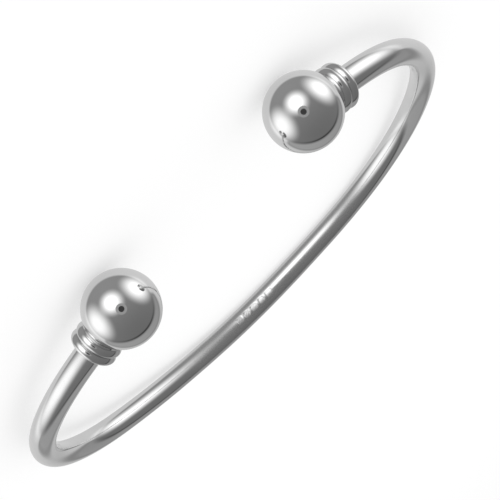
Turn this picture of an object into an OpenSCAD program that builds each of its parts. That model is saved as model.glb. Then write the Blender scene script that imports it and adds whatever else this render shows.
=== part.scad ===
// Torque bangle: a round wire bent to an open oval, a doubled ring collar
// and a polished ball at each end.  It lies on its side, on both balls and
// the back of the wire, with the gap towards -Y.

/* [Wire] */
// Diameter of the round wire
wire_d = 3.25; // [2.6:0.05:4]

/* [Balls] */
// Diameter of the ball at each end
ball_d = 9; // [7.5:0.1:11]
// Depth of the drilled hole in each ball, from its collar side
bore_deep = 4; // [2:0.1:5]
// Diameter of the wire's turned-down tip in that hole
tip_d = 2; // [1.2:0.1:2.4]

/* [Collars] */
// Outer diameter of the two rings of each collar
ring_d = 5.68; // [5.5:0.02:6.4]
// Distance along the wire from the ball's surface to the first ring's crown
crown_at = 0.18; // [0.14:0.02:0.5]
// Distance from one ring's crown to the next
ring_pitch = 1.13; // [1.08:0.01:1.3]
// Radius of each ring's crown and its wire side
ring_round = 0.42; // [0.36:0.02:0.46]
// Radius of the flatter flank on each ring's ball side
flank_round = 0.95; // [0.9:0.05:1.1]
// Length of that flank, along the wire
flank_len = 0.66; // [0.6:0.01:0.68]
// Diameter of the neck that carries the two rings
neck_d = 4.92; // [4.6:0.02:4.92]

/* [Right half, bend radii] */
// Bend radius of the wire next to the middle of the back, right half
right_back_r = 33.5; // [28:0.5:45]
// Bend radius of the right shoulder
right_shoulder_r = 50; // [35:0.5:60]
// Bend radius of the right side
right_side_r = 20.5; // [18:0.5:25]
// Bend radius of the right arm, up to the straight end
right_arm_r = 27; // [22:0.5:32]

/* [Right half, bend angles] */
// Angle turned at the right back bend, in degrees
right_back_a = 20; // [14:0.5:24]
// Angle turned at the right shoulder, in degrees
right_shoulder_a = 23.5; // [18:0.5:28]
// Angle turned at the right side, in degrees
right_side_a = 87.5; // [80:0.5:92]
// Angle turned along the right arm, in degrees
right_arm_a = 25; // [18:0.5:28]
// Straight end of the wire on the right, up to the ball's centre
right_end = 7.3; // [6.8:0.1:9]

/* [Left half, bend radii] */
// Bend radius of the wire next to the middle of the back, left half
left_back_r = 59.5; // [50:0.5:70]
// Bend radius of the left shoulder
left_shoulder_r = 25.5; // [22:0.5:30]
// Bend radius of the left side
left_side_r = 29; // [25:0.5:33]
// Bend radius of the left arm, up to the straight end
left_arm_r = 20; // [17:0.5:24]

/* [Left half, bend angles] */
// Angle turned at the left back bend, in degrees
left_back_a = 11; // [8:0.5:14]
// Angle turned at the left shoulder, in degrees
left_shoulder_a = 48; // [42:0.5:52]
// Angle turned at the left side, in degrees
left_side_a = 57; // [50:0.5:62]
// Angle turned along the left arm, in degrees
left_arm_a = 34; // [26:0.5:38]
// Straight end of the wire on the left, up to the ball's centre
left_end = 7.5; // [6.8:0.1:9]

/* [Fit] */
// Clearance between pieces that meet
gap = 0.02; // [0.01:0.01:0.05]

/* [Hidden] */
$fn = 48;

wire_r = wire_d / 2;
ball_r = ball_d / 2;
tip_r = tip_d / 2;
ring_at = ball_r + crown_at;
flank_a = 10;    // the flank runs into the crown's arc this far round, in degrees

// Each half starts at the middle of the back and is a chain of bends.
// Columns of the bend tables: radius of the bend, angle turned.
R = 0;
A = 1;
RIGHT = [
    [right_back_r, right_back_a],
    [right_shoulder_r, right_shoulder_a],
    [right_side_r, right_side_a],
    [right_arm_r, right_arm_a]
];
LEFT = [
    [left_back_r, left_back_a],
    [left_shoulder_r, left_shoulder_a],
    [left_side_r, left_side_a],
    [left_arm_r, left_arm_a]
];
SIDE = 2;    // the row of the tables that holds the widest point

// Where two bends meet: length of the straight stretch that joins them,
// how far each bend stops short of the joint inside it, and how far it
// stands proud of the wire, a hundredth of a millimetre
joint_len = 0.4;
joint_trim = 0.05;
joint_proud = 0.01;

// Heading of the wire's centreline before bend i, turning from +X
// towards -Y, and the centreline's point there.
function heading(t, i) = i == 0 ? 0 : heading(t, i - 1) - t[i - 1][A];
function inward(h) = [sin(h), -cos(h)];
function along(h) = [cos(h), sin(h)];
function joint(t, i) = i == 0 ? [0, 0] :
    centre(t, i - 1) - t[i - 1][R] * inward(heading(t, i));
function centre(t, i) = joint(t, i) + t[i][R] * inward(heading(t, i));
function ball_at(t, end) =
    joint(t, len(t)) + end * along(heading(t, len(t)));

// The plan is turned so that the line of the two balls runs along X.
function flip(p) = [-p[0], p[1]];
function turn(p, a) =
    [p[0] * cos(a) - p[1] * sin(a), p[0] * sin(a) + p[1] * cos(a)];
ball_r_plan = ball_at(RIGHT, right_end);
ball_l_plan = flip(ball_at(LEFT, left_end));
skew = -atan2(ball_r_plan[1] - ball_l_plan[1],
              ball_r_plan[0] - ball_l_plan[0]);
ball_line = turn(ball_r_plan, skew)[1];

// The back-most point of the centreline lies on the first bend of the
// half that the turn lifts.
back_c = skew > 0 ? turn(centre(RIGHT, 0), skew)
                  : turn(flip(centre(LEFT, 0)), skew);
back_line = back_c[1] + (skew > 0 ? RIGHT[0][R] : LEFT[0][R]);

// Lying on its side: the balls are thicker than the wire, so the hoop
// leans by this angle on its back.
lean = asin((ball_r - wire_r) / (back_line - ball_line));

// Widest points of the centreline, and the middle of the outline.
wide_right = turn(centre(RIGHT, SIDE), skew)[0] + RIGHT[SIDE][R];
wide_left = turn(flip(centre(LEFT, SIDE)), skew)[0] - LEFT[SIDE][R];
mid_x = (wide_right + wide_left) / 2;
front_y = (ball_line - back_line) * cos(lean) - ball_r;
mid_y = (wire_r + front_y) / 2;

// The plan laid on the surface, origin below the middle of the outline
module laid() {
    translate([-mid_x, -mid_y, wire_r])
        rotate([-lean, 0, 0])
            translate([0, -back_line, 0])
                rotate([0, 0, skew])
                    children();
}

// One bend of the wire, a hair short of the joints at its two ends
module bend(t, i) {
    short = joint_trim / t[i][R] * 180 / PI;
    translate(centre(t, i))
        rotate([0, 0, heading(t, i) + 90 - t[i][A] + short])
            rotate_extrude(angle = t[i][A] - 2 * short)
                translate([t[i][R], 0])
                    circle(r = wire_r);
}

// Short straight stretch that joins one bend to the next
module joining(t, i) {
    translate(joint(t, i))
        rotate([0, 0, heading(t, i)])
            rotate([0, 90, 0])
                cylinder(r = wire_r + joint_proud, h = joint_len,
                         center = true);
}

// Places a part that is drawn along +Z from the ball's centre towards
// the wire, at the end of a half
module at_ball(t, end) {
    translate(ball_at(t, end))
        rotate([0, 0, heading(t, len(t)) + 180])
            rotate([0, 90, 0])
                children();
}

// The straight end of the wire, and its tip in the ball
module wire_end(end) {
    stop = ball_r - bore_deep + 0.3;
    shoulder = sqrt(pow(ball_r, 2) - pow(tip_r + gap, 2)) + gap;
    translate([0, 0, shoulder])
        cylinder(r = wire_r, h = end - joint_trim - shoulder);
    translate([0, 0, stop])
        cylinder(r = tip_r, h = shoulder + 0.1 - stop);
}

module half(t, end) {
    for (i = [0 : len(t) - 1]) bend(t, i);
    for (i = [1 : len(t)]) joining(t, i);
    at_ball(t, end) wire_end(end);
}

// Half of a ring's section, crown at height 0: a round crown, and on the
// ball's side (below) a flatter arc that runs into it
module ring_section() {
    o = ring_d / 2;
    k = ring_round;
    c = [o - k - (flank_round - k) * cos(flank_a),
         (flank_round - k) * sin(flank_a)];
    union() {
        translate([o - k, 0]) circle(r = k);
        intersection() {
            translate(c) circle(r = flank_round);
            polygon([
                [c[0] - 0.5, c[1] + 0.5 * tan(flank_a)],
                [o + 0.2, c[1] - (o + 0.2 - c[0]) * tan(flank_a)],
                [o + 0.2, -flank_len],
                [c[0] - 0.5, -flank_len]
            ]);
        }
        translate([c[0] - 0.5, -0.4]) square([o - k - c[0] + 0.5, 0.4 + k]);
    }
}

// Doubled collar: two rounded rings on one neck, bored for the wire,
// its ball side hollowed to sit on the ball
module collar() {
    rotate_extrude()
        difference() {
            union() {
                for (i = [0, 1])
                    translate([0, ring_at + i * ring_pitch]) ring_section();
                translate([0, ring_at - 1.2])
                    square([neck_d / 2, 1.2 + ring_pitch]);
            }
            translate([-1, 0]) square([1 + wire_r + gap, 2 * ball_d]);
            circle(r = ball_r + gap);
        }
}

// Ball, drilled for the wire's tip
module ball() {
    difference() {
        sphere(r = ball_r);
        translate([0, 0, ball_r - bore_deep])
            cylinder(r = tip_r + gap, h = ball_d);
    }
}

module hoop() {
    color("silver") laid() {
        half(RIGHT, right_end);
        mirror([1, 0, 0]) half(LEFT, left_end);
        joining(RIGHT, 0);
    }
}

module collar_left() {
    color("silver") laid() mirror([1, 0, 0]) at_ball(LEFT, left_end) collar();
}

module collar_right() {
    color("silver") laid() at_ball(RIGHT, right_end) collar();
}

module ball_left() {
    color("gainsboro") laid() mirror([1, 0, 0]) at_ball(LEFT, left_end) ball();
}

module ball_right() {
    color("gainsboro") laid() at_ball(RIGHT, right_end) ball();
}

hoop();
collar_left();
collar_right();
ball_left();
ball_right();
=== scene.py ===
import math

import bpy
import numpy as np
from mathutils import Matrix, Vector


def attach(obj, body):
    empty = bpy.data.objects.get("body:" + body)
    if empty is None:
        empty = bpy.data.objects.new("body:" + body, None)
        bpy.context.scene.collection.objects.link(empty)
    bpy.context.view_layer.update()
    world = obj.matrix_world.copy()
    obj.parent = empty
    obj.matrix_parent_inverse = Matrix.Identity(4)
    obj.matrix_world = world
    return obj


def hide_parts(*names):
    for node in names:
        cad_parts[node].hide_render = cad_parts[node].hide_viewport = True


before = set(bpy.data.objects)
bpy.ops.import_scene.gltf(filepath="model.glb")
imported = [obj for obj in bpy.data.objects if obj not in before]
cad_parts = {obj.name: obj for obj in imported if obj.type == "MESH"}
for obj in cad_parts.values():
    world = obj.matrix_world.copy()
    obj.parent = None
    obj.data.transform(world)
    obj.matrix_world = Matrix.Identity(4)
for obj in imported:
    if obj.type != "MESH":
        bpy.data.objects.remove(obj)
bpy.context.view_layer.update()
scene = bpy.context.scene
MM = 0.001

# ---------------------------------------------------------------- sizes, mm
WIRE_R = 1.625
BALL_R = 4.5
TIP_R = 1.0
GAP = 0.02
BORE = 4.0
RING_R = 2.84
RING_AT = 4.68
RING_PITCH = 1.13
RING_K = 0.42
FLANK_R = 0.95
FLANK_A = 10.0
FLANK_H = 0.66
NECK_R = 2.46
# one row per bend: radius, angle turned
RIGHT = [(33.5, 20.0), (50.0, 23.5), (20.5, 87.5), (27.0, 25.0)]
LEFT = [(59.5, 11.0), (25.5, 48.0), (29.0, 57.0), (20.0, 34.0)]
RIGHT_END = 7.3
LEFT_END = 7.5


# ------------------------------------------- plan of the bend, as the frame has it
def unit(h):
    return np.array([math.cos(math.radians(h)), math.sin(math.radians(h))])


def inward(h):
    return np.array([math.sin(math.radians(h)), -math.cos(math.radians(h))])


def heading(t, i):
    return -sum(a for _, a in t[:i])


def joint(t, i):
    return np.zeros(2) if i == 0 else centre(t, i - 1) - t[i - 1][0] * inward(heading(t, i))


def centre(t, i):
    return joint(t, i) + t[i][0] * inward(heading(t, i))


def ball_at(t, end):
    return joint(t, len(t)) + end * unit(heading(t, len(t)))


def flip(p):
    return np.array([-p[0], p[1]])


def turn(p, a):
    c, s = math.cos(math.radians(a)), math.sin(math.radians(a))
    return np.array([p[0] * c - p[1] * s, p[0] * s + p[1] * c])


BR, BL = ball_at(RIGHT, RIGHT_END), flip(ball_at(LEFT, LEFT_END))
SKEW = -math.degrees(math.atan2(BR[1] - BL[1], BR[0] - BL[0]))
BALL_LINE = turn(BR, SKEW)[1]
if SKEW > 0:
    BACK_LINE = turn(centre(RIGHT, 0), SKEW)[1] + RIGHT[0][0]
else:
    BACK_LINE = turn(flip(centre(LEFT, 0)), SKEW)[1] + LEFT[0][0]
LEAN = math.degrees(math.asin((BALL_R - WIRE_R) / (BACK_LINE - BALL_LINE)))
WIDE_R = turn(centre(RIGHT, 2), SKEW)[0] + RIGHT[2][0]
WIDE_L = turn(flip(centre(LEFT, 2)), SKEW)[0] - LEFT[2][0]
MID_X = (WIDE_R + WIDE_L) / 2
MID_Y = (WIRE_R + (BALL_LINE - BACK_LINE) * math.cos(math.radians(LEAN)) - BALL_R) / 2


def laid(p, direction=False):
    """A plan point or direction, shape (n, 3), laid on the surface, in millimetres."""
    p = np.atleast_2d(np.asarray(p, float))
    c, s = math.cos(math.radians(SKEW)), math.sin(math.radians(SKEW))
    x, y, z = p[:, 0] * c - p[:, 1] * s, p[:, 0] * s + p[:, 1] * c, p[:, 2]
    if not direction:
        y = y - BACK_LINE
    c, s = math.cos(math.radians(-LEAN)), math.sin(math.radians(-LEAN))
    q = np.stack([x, y * c - z * s, y * s + z * c], 1)
    return q if direction else q + np.array([-MID_X, -MID_Y, WIRE_R])


def half_line(t, end, step=0.02):
    """Arc length and heading, in radians, of a half from the middle of the back to the ball's centre."""
    s_at, h_at, s = [0.0], [0.0], 0.0
    knots = []
    for r, a in t:
        knots.append((s, s + r * math.radians(a), -1.0 / r))
        s += r * math.radians(a)
    total = s + end
    grid = np.arange(0, total + step / 2, step)
    k = np.zeros_like(grid)
    for a, b, c in knots:
        k[(grid >= a) & (grid < b)] = c
    return grid, k, total


# the whole line, left ball to right ball: curvature against arc length
STEP = 0.02
gr, kr, lr = half_line(RIGHT, RIGHT_END, STEP)
gl, kl, ll = half_line(LEFT, LEFT_END, STEP)
curv = np.concatenate([kl[::-1], kr[1:]])
n_left = len(kl) - 1
arc = (np.arange(len(curv)) - n_left) * STEP
# where two bends meet the wire's curve changes over a few millimetres, as bent wire does
width = np.clip((np.minimum(arc - arc[0], arc[-1] - arc) - 4.0) * 0.55, 0.4, 3.2)
cum = np.concatenate([[0], np.cumsum(curv)]) * STEP


def window_mean(half):
    a, b = arc - half, arc + half
    edges = np.concatenate([arc - STEP / 2, [arc[-1] + STEP / 2]])
    return (np.interp(b, edges, cum) - np.interp(a, edges, cum)) / (2 * half)


smooth = np.zeros_like(curv)
for w in (0.5, 1.0):
    smooth += window_mean(width * w) / 2
head = np.concatenate([[0], np.cumsum((smooth[1:] + smooth[:-1]) / 2)]) * STEP
head -= head[n_left]
xy = np.zeros((len(arc), 2))
xy[:, 0] = np.concatenate([[0], np.cumsum((np.cos(head[1:]) + np.cos(head[:-1])) / 2)]) * STEP
xy[:, 1] = np.concatenate([[0], np.cumsum((np.sin(head[1:]) + np.sin(head[:-1])) / 2)]) * STEP
xy -= xy[n_left]
# pinned to the two balls' centres: the smoothing moves them by hundredths of a millimetre
far_r, far_l = BR - xy[-1], BL - xy[0]
wr = np.clip(arc / arc[-1], 0, 1)[:, None]
wl = np.clip(arc / arc[0], 0, 1)[:, None]
xy += far_r * wr**1.5 + far_l * wl**1.5
tang = np.gradient(xy, STEP, axis=0)
tang /= np.linalg.norm(tang, axis=1)[:, None]


def line_at(s):
    """Centreline points and tangents in the plan at arc lengths s."""
    p = np.stack([np.interp(s, arc, xy[:, 0]), np.interp(s, arc, xy[:, 1])], 1)
    d = np.stack([np.interp(s, arc, tang[:, 0]), np.interp(s, arc, tang[:, 1])], 1)
    return p, d / np.linalg.norm(d, axis=1)[:, None]


# ---------------------------------------------------------------- meshes
def add_mesh(name, verts_mm, faces, material, smooth_faces=True):
    me = bpy.data.meshes.new(name)
    me.from_pydata([tuple(v * MM) for v in verts_mm], [], faces)
    me.validate()
    me.update()
    ob = bpy.data.objects.new(name, me)
    scene.collection.objects.link(ob)
    me.materials.append(material)
    if smooth_faces:
        me.polygons.foreach_set("use_smooth", [True] * len(me.polygons))
    return ob


def soft_noise(s, seed, scales):
    """A smooth, seeded sum of sines along s."""
    rng = np.random.default_rng(seed)
    out = np.zeros_like(s)
    for length, amp in scales:
        out += amp * np.sin(2 * math.pi * s / length + rng.uniform(0, 2 * math.pi))
    return out


SHOULDER = math.sqrt(BALL_R**2 - (TIP_R + GAP) ** 2) + GAP
TIP_STOP = BALL_R - BORE + 0.3

# blank punched marks inside the back: (arc length, half width, half height, corner exponent)
MARKS = [(-2.95, 0.62, 0.44, 5.0), (-1.35, 0.52, 0.48, 2.3), (0.2, 0.62, 0.44, 4.0), (1.75, 0.52, 0.48, 2.3), (3.15, 0.56, 0.44, 5.0)]
MARK_MID = 4.6
MARK_UP = 0.2
MARK_FACE = 0.05
MARK_FLAT = 0.42


def marks_depth(s, around):
    """Depth of the punched marks, in mm; around is the distance round the wire from the middle of its inner side."""
    depth = np.zeros(np.broadcast(s, around).shape)
    for s0, a, b, e in MARKS:
        q = (np.abs((s - MARK_MID - s0) / a) ** e + np.abs((around - MARK_UP) / b) ** e) ** (1 / e)
        inside = np.clip((1.12 - q) / 0.24, 0, 1)
        inside = inside * inside * (3 - 2 * inside)
        # the punch's face is flatter than the wire and struck a little askew, and worn uneven
        flat = np.clip((b + MARK_UP - MARK_FACE) ** 2 - (around - MARK_FACE) ** 2, 0, None) * MARK_FLAT / (2 * WIRE_R)
        worn = 0.003 * np.sin(23.0 * s + 3.0 * s0) * np.cos(17.0 * around + s0) + 0.002 * np.sin(11.0 * s - 14.0 * around + 2.0 * s0)
        rim = np.exp(-(((q - 1.24) / 0.13) ** 2))
        depth += inside * (flat + 0.006 + worn) - 0.003 * rim
    return depth


def make_hoop(material):
    around = 96
    s0, s1 = arc[0] + SHOULDER, arc[-1] - SHOULDER
    coarse_l = np.linspace(s0, MARK_MID - 4.6, 330)
    fine = np.linspace(MARK_MID - 4.6, MARK_MID + 4.6, 150)[1:-1]
    coarse_r = np.linspace(MARK_MID + 4.6, s1, 330)
    s = np.concatenate([coarse_l, fine, coarse_r])
    p, d = line_at(s)
    n = np.stack([d[:, 1], -d[:, 0]], 1)  # towards the inside of the bend
    ang = np.arange(around) * 2 * math.pi / around
    rad = np.full((len(s), around), WIRE_R)
    # drawn, bent and hand polished: a few thousandths of a millimetre off round
    rad += (
        soft_noise(s, 3, [(23.0, 0.0035), (11.5, 0.0022), (6.1, 0.0009)])[:, None]
        + 0.0030 * np.cos(2 * ang[None, :] + s[:, None] / 9.0)
        + 0.0012 * np.sin(3 * ang[None, :] - s[:, None] / 5.0 + 1.0)
    ) - 0.006
    ease = np.clip(np.minimum(s - s0, s1 - s) / 1.5, 0, 1)[:, None]
    rad = WIRE_R - 0.004 + (rad - WIRE_R + 0.004) * ease
    dist = (ang + math.pi) % (2 * math.pi) - math.pi
    rad -= marks_depth(s[:, None], (dist * WIRE_R)[None, :])
    pts = np.zeros((len(s), around, 3))
    pts[:, :, :2] = p[:, None, :] + n[:, None, :] * (rad * np.cos(ang)[None, :])[:, :, None]
    pts[:, :, 2] = rad * np.sin(ang)[None, :]
    verts = [pts.reshape(-1, 3)]
    faces = []
    for i in range(len(s) - 1):
        a, b = i * around, (i + 1) * around
        for j in range(around):
            k = (j + 1) % around
            faces.append((a + j, b + j, b + k, a + k))
    count = len(s) * around
    # turned-down tips, with a small chamfer at the step and at the end
    for first, sign, row in ((True, -1, 0), (False, 1, len(s) - 1)):
        c, t = p[row], d[row] * sign
        nn = n[row]
        depth = SHOULDER - TIP_STOP
        ring_prev = row * around
        for r, off in ((WIRE_R - 0.10, 0.0), (TIP_R, 0.0), (TIP_R, 0.02), (TIP_R, depth - 0.2), (TIP_R - 0.2, depth)):
            ring = np.zeros((around, 3))
            ring[:, :2] = c + t * off + nn * (r * np.cos(ang))[:, None]
            ring[:, 2] = r * np.sin(ang)
            verts.append(ring)
            for j in range(around):
                k = (j + 1) % around
                f = (ring_prev + j, ring_prev + k, count + k, count + j)
                faces.append(f if first else f[::-1])
            ring_prev = count
            count += around
        verts.append(np.array([[*(c + t * depth), 0.0]]))
        for j in range(around):
            k = (j + 1) % around
            f = (ring_prev + j, ring_prev + k, count)
            faces.append(f if first else f[::-1])
        count += 1
    flat = np.concatenate(verts)
    ob = add_mesh("hoop_wire", laid(flat), faces, material)
    # the step and the tips keep hard edges
    sharp = [False] * len(ob.data.edges)
    base = len(s) * around
    for e in ob.data.edges:
        a, b = e.vertices
        if (a >= base or b >= base or (a < around and b < around) or (a >= base - around and b >= base - around)) and abs(a - b) in (1, around - 1):
            sharp[e.index] = True
    attr = ob.data.attributes.new("sharp_edge", "BOOLEAN", "EDGE")
    attr.data.foreach_set("value", sharp)
    # arc length and angle as a map, for the draw lines
    uv = ob.data.uv_layers.new(name="along")
    loops = np.zeros(len(ob.data.loops), int)
    ob.data.loops.foreach_get("vertex_index", loops)
    su = np.zeros(len(flat))
    vv = np.zeros(len(flat))
    su[: len(s) * around] = np.repeat(s, around)
    vv[: len(s) * around] = np.tile(np.arange(around), len(s))
    col = vv[loops].reshape(-1, 1)
    start = np.zeros(len(ob.data.polygons), int)
    ob.data.polygons.foreach_get("loop_start", start)
    size = np.diff(np.append(start, len(loops)))
    # turned so that the map's seam lies along the outside of the bend
    col = (col[:, 0] + around / 2) % around
    low = np.minimum.reduceat(col, start)
    high = np.maximum.reduceat(col, start)
    wraps = np.repeat(high - low > around / 2, size)
    col[wraps & (col < 1)] = around
    uvs = np.stack([su[loops] * MM, col * (2 * math.pi * WIRE_R / around) * MM], 1)
    uv.data.foreach_set("uv", uvs.ravel())
    return ob


def lathe(name, profile, origin_plan, axis_plan, material, segments, closed=False, sharp_deg=35.0):
    """Turns a profile of (radius, height) about an axis in the plan; a profile point on the axis becomes one vertex."""
    ang = np.arange(segments) * 2 * math.pi / segments
    t = np.array([axis_plan[0], axis_plan[1], 0.0])
    u = np.array([-t[1], t[0], 0.0])
    w = np.array([0.0, 0.0, 1.0])
    o = np.array([origin_plan[0], origin_plan[1], 0.0])
    verts, rows, faces = [], [], []
    for r, h in profile:
        if r < 1e-6:
            rows.append([len(verts)])
            verts.append(o + t * h)
        else:
            rows.append(list(range(len(verts), len(verts) + segments)))
            for a in ang:
                verts.append(o + t * h + r * (u * math.cos(a) + w * math.sin(a)))
    pairs = list(zip(rows, rows[1:])) + ([(rows[-1], rows[0])] if closed else [])
    for a, b in pairs:
        for j in range(segments):
            k = (j + 1) % segments
            if len(a) == 1:
                faces.append((a[0], b[k], b[j]))
            elif len(b) == 1:
                faces.append((a[j], a[k], b[0]))
            else:
                faces.append((a[j], a[k], b[k], b[j]))
    ob = add_mesh(name, laid(np.array(verts)), faces, material)
    ob.data.set_sharp_from_angle(angle=math.radians(sharp_deg))
    return ob


def make_ball(name, origin, axis, material):
    """Drilled ball; axis points from its centre to the wire."""
    mouth = TIP_R + GAP
    top = math.asin((mouth + 0.03) / BALL_R)
    prof = [(0.0, BALL_R - BORE), (mouth, BALL_R - BORE), (mouth, math.sqrt(BALL_R**2 - mouth**2) - 0.05)]
    for a in np.linspace(top, math.pi, 97):
        # polished by hand: microns off a true sphere
        r = BALL_R - 0.002 + 0.0012 * math.cos(4 * a + 0.6)
        prof.append((max(r * math.sin(a), 0.0) if a < math.pi - 1e-9 else 0.0, r * math.cos(a)))
    return lathe(name, prof[::-1], origin, axis, material, 128, sharp_deg=50)


def make_collar(name, origin, axis, material):
    """Two rounded rings on one neck, bored for the wire, hollowed on the ball's side."""
    bore = WIRE_R + GAP
    seat = BALL_R + GAP
    k, big = RING_K, FLANK_R
    a0 = math.radians(FLANK_A)
    # the ball's side of a ring is a flatter arc that runs into the crown's own arc
    big_r, big_h = RING_R - k - (big - k) * math.cos(a0), (big - k) * math.sin(a0)
    low = math.asin((FLANK_H + big_h) / big)

    def ring(at):
        pts = []
        for a in np.linspace(-low, -a0, 15):
            pts.append((big_r + big * math.cos(a), at + big_h + big * math.sin(a)))
        for a in np.linspace(-a0, math.pi / 2, 25)[1:]:
            pts.append((RING_R - k + k * math.cos(a), at + k * math.sin(a)))
        return pts

    first, second = ring(RING_AT), ring(RING_AT + RING_PITCH)
    # the wire's side of the first ring ends on the neck
    first = [q for q in first if q[1] < RING_AT or q[0] > NECK_R + 0.004]
    start, stop = math.asin(bore / seat), math.asin(NECK_R / seat)
    seat_pts = [(seat * math.sin(a), seat * math.cos(a)) for a in np.linspace(start, stop, 9)]
    step = RING_AT - FLANK_H
    foot = RING_AT + math.sqrt(k * k - (NECK_R - RING_R + k) ** 2)
    prof = seat_pts + [(NECK_R, step - 0.01), (NECK_R + 0.01, step)] + first
    prof += [(NECK_R, foot + 0.004), (NECK_R, step + RING_PITCH - 0.01), (NECK_R + 0.01, step + RING_PITCH)] + second
    last_h = second[-1][1]
    prof += [(bore + 0.4, last_h), (bore + 0.05, last_h), (bore, last_h - 0.05)]
    return lathe(name, prof, origin, axis, material, 160, closed=True, sharp_deg=40)


# ---------------------------------------------------------------- materials
def nodes_of(mat):
    mat.use_nodes = True
    nt = mat.node_tree
    nt.nodes.clear()
    return nt, nt.nodes, nt.links


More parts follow.
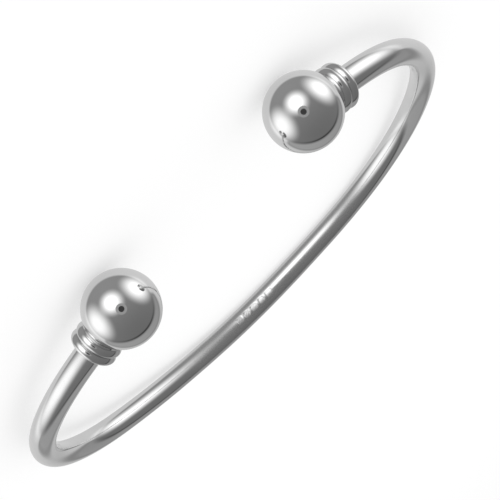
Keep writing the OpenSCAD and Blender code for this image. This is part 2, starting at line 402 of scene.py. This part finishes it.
def silver(name, base, tarnish, rough, scratch_scale, bump, lines=False):
    mat = bpy.data.materials.new(name)
    nt, N, L = nodes_of(mat)
    out = N.new("ShaderNodeOutputMaterial")
    b = N.new("ShaderNodeBsdfPrincipled")
    b.inputs["Metallic"].default_value = 1.0
    L.new(b.outputs["BSDF"], out.inputs["Surface"])
    co = N.new("ShaderNodeTexCoord")
    # broad tone: faint clouds of tarnish and wipe marks
    cloud = N.new("ShaderNodeTexNoise")
    cloud.inputs["Scale"].default_value = 130.0
    cloud.inputs["Detail"].default_value = 5.0
    cloud.inputs["Roughness"].default_value = 0.6
    L.new(co.outputs["Object"], cloud.inputs["Vector"])
    ramp = N.new("ShaderNodeValToRGB")
    ramp.color_ramp.elements[0].position = 0.30
    ramp.color_ramp.elements[0].color = (*tarnish, 1)
    ramp.color_ramp.elements[1].position = 0.62
    ramp.color_ramp.elements[1].color = (*base, 1)
    L.new(cloud.outputs["Fac"], ramp.inputs["Fac"])
    # painted shade: an ambient-occlusion factor darkens the base colour in grooves and seams
    ao = N.new("ShaderNodeAmbientOcclusion")
    ao.inputs["Distance"].default_value = 0.0006
    ao.samples = 8
    painted_shade = N.new("ShaderNodeMapRange")
    painted_shade.inputs["From Min"].default_value = 0.2
    painted_shade.inputs["From Max"].default_value = 0.8
    painted_shade.inputs["To Min"].default_value = 0.8
    painted_shade.inputs["To Max"].default_value = 1.0
    L.new(ao.outputs["AO"], painted_shade.inputs["Value"])
    # the painted shade multiplies the tarnish-cloud tone
    shaded_colour = N.new("ShaderNodeMix")
    shaded_colour.data_type = "RGBA"
    shaded_colour.blend_type = "MULTIPLY"
    shaded_colour.inputs["Factor"].default_value = 1.0
    L.new(ramp.outputs["Color"], shaded_colour.inputs["A"])
    L.new(painted_shade.outputs["Result"], shaded_colour.inputs["B"])
    L.new(shaded_colour.outputs["Result"], b.inputs["Base Color"])
    # fine hairline wear in the gloss
    mapv = N.new("ShaderNodeMapping")
    mapv.inputs["Scale"].default_value = (scratch_scale, scratch_scale * 0.16, scratch_scale)
    mapv.inputs["Rotation"].default_value = (0.4, 0.7, 0.9)
    L.new(co.outputs["Object"], mapv.inputs["Vector"])
    fine = N.new("ShaderNodeTexNoise")
    fine.inputs["Scale"].default_value = 1.0
    fine.inputs["Detail"].default_value = 6.0
    fine.inputs["Roughness"].default_value = 0.7
    L.new(mapv.outputs["Vector"], fine.inputs["Vector"])
    rr = N.new("ShaderNodeMapRange")
    rr.inputs["From Min"].default_value = 0.3
    rr.inputs["From Max"].default_value = 0.75
    rr.inputs["To Min"].default_value = rough[0]
    rr.inputs["To Max"].default_value = rough[1]
    L.new(fine.outputs["Fac"], rr.inputs["Value"])
    L.new(rr.outputs["Result"], b.inputs["Roughness"])
    if lines:
        # the inside of the back, which rests on the wrist, is worn softer; the map runs along and round the wire
        where = N.new("ShaderNodeUVMap")
        where.uv_map = "along"
        parts = N.new("ShaderNodeSeparateXYZ")
        L.new(where.outputs["UV"], parts.inputs["Vector"])
        worn = rr.outputs["Result"]
        fades = []
        for axis, mid, lo, hi in (("X", 0.0, 0.016, 0.024), ("Y", math.pi * WIRE_R * MM, 0.0012, 0.0024)):
            away = N.new("ShaderNodeMath")
            away.operation = "SUBTRACT"
            L.new(parts.outputs[axis], away.inputs[0])
            away.inputs[1].default_value = mid
            size = N.new("ShaderNodeMath")
            size.operation = "ABSOLUTE"
            L.new(away.outputs["Value"], size.inputs[0])
            fade = N.new("ShaderNodeMapRange")
            fade.interpolation_type = "SMOOTHSTEP"
            fade.inputs["From Min"].default_value = lo
            fade.inputs["From Max"].default_value = hi
            fade.inputs["To Min"].default_value = 1.0
            fade.inputs["To Max"].default_value = 0.0
            L.new(size.outputs["Value"], fade.inputs["Value"])
            fades.append(fade.outputs["Result"])
        both = N.new("ShaderNodeMath")
        both.operation = "MULTIPLY"
        L.new(fades[0], both.inputs[0])
        L.new(fades[1], both.inputs[1])
        more = N.new("ShaderNodeMath")
        more.operation = "MULTIPLY_ADD"
        L.new(both.outputs["Value"], more.inputs[0])
        more.inputs[1].default_value = 0.19
        L.new(worn, more.inputs[2])
        L.new(more.outputs["Value"], b.inputs["Roughness"])
    wave = N.new("ShaderNodeTexNoise")
    wave.inputs["Scale"].default_value = 420.0
    wave.inputs["Detail"].default_value = 2.0
    L.new(co.outputs["Object"], wave.inputs["Vector"])
    add = N.new("ShaderNodeMath")
    add.operation = "MULTIPLY_ADD"
    add.inputs[1].default_value = 0.12
    L.new(fine.outputs["Fac"], add.inputs[0])
    L.new(wave.outputs["Fac"], add.inputs[2])
    last = add.outputs["Value"]
    if lines:
        # draw lines run along the wire
        uvn = N.new("ShaderNodeUVMap")
        uvn.uv_map = "along"
        mp = N.new("ShaderNodeMapping")
        mp.inputs["Scale"].default_value = (120.0, 9000.0, 1.0)
        L.new(uvn.outputs["UV"], mp.inputs["Vector"])
        dl = N.new("ShaderNodeTexNoise")
        dl.inputs["Scale"].default_value = 1.0
        dl.inputs["Detail"].default_value = 3.0
        L.new(mp.outputs["Vector"], dl.inputs["Vector"])
        add2 = N.new("ShaderNodeMath")
        add2.operation = "MULTIPLY_ADD"
        add2.inputs[1].default_value = 0.05
        L.new(dl.outputs["Fac"], add2.inputs[0])
        L.new(last, add2.inputs[2])
        last = add2.outputs["Value"]
    bp = N.new("ShaderNodeBump")
    bp.inputs["Strength"].default_value = 1.0
    bp.inputs["Distance"].default_value = bump
    L.new(last, bp.inputs["Height"])
    L.new(bp.outputs["Normal"], b.inputs["Normal"])
    return mat


wire_mat = silver("wire_silver", (0.86, 0.86, 0.86), (0.80, 0.80, 0.80), (0.05, 0.11), 9000.0, 0.0000035, lines=True)
collar_mat = silver("collar_silver", (0.86, 0.86, 0.86), (0.79, 0.79, 0.79), (0.05, 0.12), 9000.0, 0.0000015)
ball_mat = silver("ball_silver", (0.88, 0.88, 0.88), (0.84, 0.84, 0.84), (0.03, 0.08), 9000.0, 0.000003)

# ---------------------------------------------------------------- pieces
hoop = make_hoop(wire_mat)
ax_r = -unit(heading(RIGHT, len(RIGHT)))
ax_l = flip(-unit(heading(LEFT, len(LEFT))))
pieces = [(hoop, "hoop", "wire_silver")]
for side, at, ax in (("right", BR, ax_r), ("left", BL, ax_l)):
    pieces.append((make_collar("collar_rings_" + side, at, ax, collar_mat), "collar_" + side, "collar_silver"))
    pieces.append((make_ball("ball_polished_" + side, at, ax, ball_mat), "ball_" + side, "ball_silver"))
for ob, node, slot in pieces:
    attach(ob, "root")
    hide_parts(node)

# CAD nodes carry the same finishes
for node, mat in (("hoop", wire_mat), ("collar_left", collar_mat), ("collar_right", collar_mat), ("ball_left", ball_mat), ("ball_right", ball_mat)):
    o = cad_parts[node]
    o.data.materials.clear()
    o.data.materials.append(mat)

# ---------------------------------------------------------------- floor
floor_me = bpy.data.meshes.new("floor")
R = 4.0
floor_me.from_pydata([(-R, -R, 0), (R, -R, 0), (R, R, 0), (-R, R, 0)], [], [(0, 1, 2, 3)])
floor = bpy.data.objects.new("floor", floor_me)
floor.location = (0, 0, -0.00001)
scene.collection.objects.link(floor)
fm = bpy.data.materials.new("floor_white")
nt, N, L = nodes_of(fm)
fo = N.new("ShaderNodeOutputMaterial")
fb = N.new("ShaderNodeBsdfDiffuse")
fb.inputs["Color"].default_value = (0.42, 0.42, 0.42, 1)
fe = N.new("ShaderNodeEmission")
fe.inputs["Color"].default_value = (0.55, 0.55, 0.55, 1)
fa = N.new("ShaderNodeAddShader")
L.new(fb.outputs["BSDF"], fa.inputs[0])
L.new(fe.outputs["Emission"], fa.inputs[1])
L.new(fa.outputs["Shader"], fo.inputs["Surface"])
floor_me.materials.append(fm)
floor.visible_glossy = False

# ---------------------------------------------------------------- camera
cam_data = bpy.data.cameras.new("camera")
cam_data.sensor_width = 36.0
cam_data.lens = 95.28899
cam_data.clip_start = 0.005
cam_data.clip_end = 20.0
cam = bpy.data.objects.new("camera", cam_data)
scene.collection.objects.link(cam)
CAM_ROT = Matrix((
    (-0.6790179953, -0.7323480869, -0.0509984472),
    (0.2467541769, -0.1622543972, -0.9553982870),
    (0.6914093854, -0.6613167094, 0.2908836049),
))
CAM_POS = Vector((-10.483999, -160.302375, 52.037930)) * MM
cam.matrix_world = Matrix.Translation(CAM_POS) @ CAM_ROT.to_4x4()
scene.camera = cam

# ---------------------------------------------------------------- studio
# World directions, seen from the object: TO is towards the camera of the photograph's
# view, RT and UP are its right and up.  They are fixed directions, so the studio stays put.
RT = np.array(CAM_ROT.col[0])
UP = np.array(CAM_ROT.col[1])
TO = np.array(CAM_ROT.col[2])


def away_dir(ax, ay):
    """The direction that lies ax degrees to the right of TO and ay degrees below it."""
    t = math.hypot(ax, ay)
    r = math.radians(t)
    return (math.sin(r) * ax / t) * RT - (math.sin(r) * ay / t) * UP + math.cos(r) * TO


# where the room ends and the paper begins: degrees from TO, less to the lower right, softness, more to the right
EDGE = (109.0, -2.0, 10.5, 5.5)
ROOM = (0.222, -0.045)
PAPER = (0.605, -0.065, -0.05)
LAMPS = (
    (47.0, -65.0, 1.0, 47.0, 1.27),
    (-23.3, -19.4, -6.0, 42.5, 1.9),
    (-66.5, 44.0, 9.0, 50.0, 0.93),
)
SEAM = (101.0, 3.4, 0.125)
# the greyer part of the paper: grey, the middle of its sector, half its width, softness, how far out, less at the sides, softness, outline
GREY = (0.332, 45.0, 72.0, 10.0, 146.0, 12.0, 18.0, 0.14)
DOME = 1.02

world = bpy.data.worlds.new("studio")
scene.world = world
world.use_nodes = True
nt = world.node_tree
N, L = nt.nodes, nt.links
N.clear()
wo = N.new("ShaderNodeOutputWorld")
bg = N.new("ShaderNodeBackground")
L.new(bg.outputs["Background"], wo.inputs["Surface"])
tc = N.new("ShaderNodeTexCoord")


def dot_with(v):
    d = N.new("ShaderNodeVectorMath")
    d.operation = "DOT_PRODUCT"
    L.new(tc.outputs["Generated"], d.inputs[0])
    d.inputs[1].default_value = tuple(float(q) for q in v)
    return d.outputs["Value"]


def ramp_of(value, lo, hi, a, b, kind="SMOOTHSTEP"):
    m = N.new("ShaderNodeMapRange")
    m.interpolation_type = kind
    m.inputs["From Min"].default_value = lo
    m.inputs["From Max"].default_value = hi
    m.inputs["To Min"].default_value = a
    m.inputs["To Max"].default_value = b
    L.new(value, m.inputs["Value"])
    return m.outputs["Result"]


def maths(op, *args):
    m = N.new("ShaderNodeMath")
    m.operation = op
    for i, q in enumerate(args):
        if isinstance(q, (int, float)):
            m.inputs[i].default_value = q
        else:
            L.new(q, m.inputs[i])
    return m.outputs["Value"]


def total(*parts):
    out = parts[0]
    for q in parts[1:]:
        out = maths("ADD", out, q)
    return out


# TURN is the angle from the TO direction; CA and SA say to which side of it
X, Y, Z = dot_with(RT), dot_with(-UP), dot_with(TO)
S = maths("SQRT", maths("ADD", maths("MULTIPLY", X, X), maths("MULTIPLY_ADD", Y, Y, 1e-6)))
CA, SA = maths("DIVIDE", X, S), maths("DIVIDE", Y, S)
TURN = maths("MULTIPLY", maths("ARCCOSINE", Z), 180 / math.pi)
DIAG = maths("MULTIPLY", maths("ADD", CA, SA), 0.7071)
CROSS = maths("MULTIPLY", maths("MULTIPLY", CA, SA), 2.0)

# dim room on the camera's side, bright paper and backdrop behind the object
room = total(maths("MULTIPLY_ADD", maths("ADD", X, Y), ROOM[1], ROOM[0]))
paper = total(maths("MULTIPLY_ADD", DIAG, PAPER[1], PAPER[0]), maths("MULTIPLY", CROSS, PAPER[2]))
# on one side the object's own soft shadow lies on the paper, paler within than at its outline
mid = math.radians(GREY[1])
turned = maths("ADD", maths("MULTIPLY", CA, math.cos(mid)), maths("MULTIPLY", SA, math.sin(mid)))
off = maths("MULTIPLY", maths("ARCCOSINE", turned), 180 / math.pi)
inside = maths("SUBTRACT", GREY[2], off)
near = maths("SUBTRACT", maths("MULTIPLY_ADD", maths("MULTIPLY", off, off), -GREY[5] / 2500.0, GREY[4]), TURN)
shade = maths("MULTIPLY", ramp_of(inside, -GREY[3] / 2, GREY[3] / 2, 0.0, 1.0), ramp_of(near, -GREY[6] / 2, GREY[6] / 2, 0.0, 1.0))
soft = N.new("ShaderNodeMix")
L.new(shade, soft.inputs["Factor"])
L.new(paper, soft.inputs["A"])
L.new(maths("MULTIPLY_ADD", maths("SUBTRACT", CA, SA), -0.026, GREY[0]), soft.inputs["B"])
ring = maths("MULTIPLY", maths("MULTIPLY", shade, maths("SUBTRACT", 1.0, shade)), 4.0 * GREY[7])
paper = maths("SUBTRACT", soft.outputs["Result"], ring)
edge = maths("MULTIPLY_ADD", DIAG, EDGE[1], EDGE[0])
bulge = maths("MULTIPLY", maths("POWER", maths("MAXIMUM", CA, 0.0), 3.0), EDGE[3])
edge = maths("ADD", edge, bulge)
behind = ramp_of(maths("SUBTRACT", TURN, edge), -EDGE[2] / 2, EDGE[2] / 2, 0.0, 1.0)
mixed = N.new("ShaderNodeMix")
L.new(behind, mixed.inputs["Factor"])
L.new(room, mixed.inputs["A"])
L.new(paper, mixed.inputs["B"])
value = mixed.outputs["Result"]
# three soft lamps in a row
for ax, ay, inner, outer, power in LAMPS:
    away = maths("MULTIPLY", maths("ARCCOSINE", dot_with(away_dir(ax, ay))), 180 / math.pi)
    value = maths("ADD", value, ramp_of(away, outer, inner, 0.0, power))
# the dark edge of the sweep, low on one side
line = maths("SUBTRACT", maths("SUBTRACT", TURN, SEAM[0]), bulge)
line = maths("MULTIPLY", maths("DIVIDE", line, SEAM[1]), maths("DIVIDE", line, SEAM[1]))
line = maths("EXPONENT", maths("MULTIPLY", line, -1.0))
line = maths("MULTIPLY", line, maths("POWER", maths("MAXIMUM", DIAG, 0.0), 3.0))
value = maths("MAXIMUM", maths("SUBTRACT", value, maths("MULTIPLY", line, SEAM[2])), 0.02)
# matt surfaces get an even white dome, so that the floor is plain and its shadows soft
path = N.new("ShaderNodeLightPath")
dome = N.new("ShaderNodeMix")
L.new(path.outputs["Is Diffuse Ray"], dome.inputs["Factor"])
L.new(value, dome.inputs["A"])
dome.inputs["B"].default_value = DOME
# and the backdrop itself is as white as the floor
plain = N.new("ShaderNodeMix")
L.new(path.outputs["Is Camera Ray"], plain.inputs["Factor"])
L.new(dome.outputs["Result"], plain.inputs["A"])
plain.inputs["B"].default_value = 1.0
L.new(plain.outputs["Result"], bg.inputs["Color"])
bg.inputs["Strength"].default_value = 1.0

# a large soft light overhead, which the metal doesn't mirror
key_data = bpy.data.lights.new("key", "AREA")
key_data.shape = "DISK"
key_data.size = 1.2
key_data.energy = 1.6
key = bpy.data.objects.new("key", key_data)
key.location = (0.1, 0.1, 1.2)
scene.collection.objects.link(key)
key.visible_glossy = False
key.visible_camera = False

# the front of the photographer's lens, which only the metal mirrors
lens_me = bpy.data.meshes.new("lens_front")
lv, lf = [], []
for r in (0.0215, 0.0240, 0.041):
    lv += [(r * math.cos(a), r * math.sin(a), 0.0) for a in np.arange(64) * 2 * math.pi / 64]
lv.append((0.0, 0.0, 0.0))
for j in range(64):
    k = (j + 1) % 64
    lf.append((192, j, k))
    lf.append((j, 64 + j, 64 + k, k))
    lf.append((64 + j, 128 + j, 128 + k, 64 + k))
lens_me.from_pydata(lv, [], lf)
lens = bpy.data.objects.new("lens_front", lens_me)
scene.collection.objects.link(lens)
lens.matrix_world = cam.matrix_world @ Matrix.Translation((0, 0, 0.001))
for tag, level in (("lens_glass", 0.05), ("lens_rim", 0.33)):
    m = bpy.data.materials.new(tag)
    nt, N, L = nodes_of(m)
    o1 = N.new("ShaderNodeOutputMaterial")
    e1 = N.new("ShaderNodeEmission")
    e1.inputs["Color"].default_value = (level, level, level, 1)
    L.new(e1.outputs["Emission"], o1.inputs["Surface"])
    lens_me.materials.append(m)
lens_me.polygons.foreach_set("material_index", [0 if i % 3 < 1 else 1 for i in range(len(lens_me.polygons))])
lens.visible_camera = False
lens.visible_diffuse = False
lens.visible_shadow = False

scene.view_settings.view_transform = "Standard"
scene.view_settings.look = "None"

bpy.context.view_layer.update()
